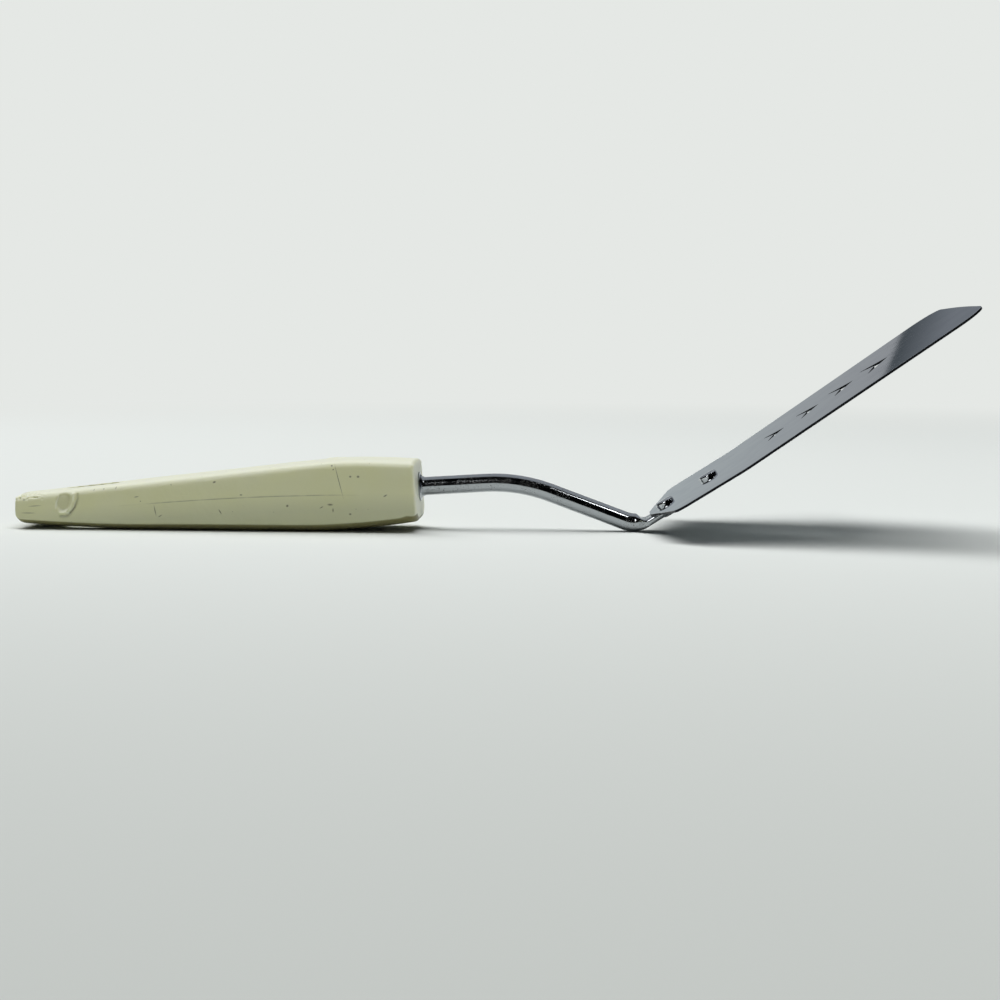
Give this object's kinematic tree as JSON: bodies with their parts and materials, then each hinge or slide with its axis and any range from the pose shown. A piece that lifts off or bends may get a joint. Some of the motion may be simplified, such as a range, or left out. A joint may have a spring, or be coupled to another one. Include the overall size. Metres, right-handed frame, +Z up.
{
  "type": "slotted turner",
  "caption": "Kitchen turner with a moulded plastic handle, a bent chromed rod shank and a thin steel blade with arrowhead drain slots, riveted to the flattened tang",
  "frame": {"origin": "middle of the bounding box's footprint on the surface that the turner rests on", "axes": "+X from the handle's tail to the blade's tip, +Y across the blade, +Z up, with the turner lying as it rests on a worktop"},
  "size_m": [0.303, 0.0782, 0.0723],
  "materials": {
    "handle_plastic": "moulded ivory plastic with a faint green cast, satin gloss, scuffed",
    "shank_chrome": "bright chrome plate on bent steel rod",
    "blade_steel": "satin plated sheet steel with fine wear lines",
    "rivet_steel": "polished domed rivet"
  },
  "bodies": {
    "root": {"handle": "handle_plastic", "shank": "shank_chrome", "blade": "blade_steel", "rivet_rear": "rivet_steel", "rivet_front": "rivet_steel"}
  },
  "joints": []
}
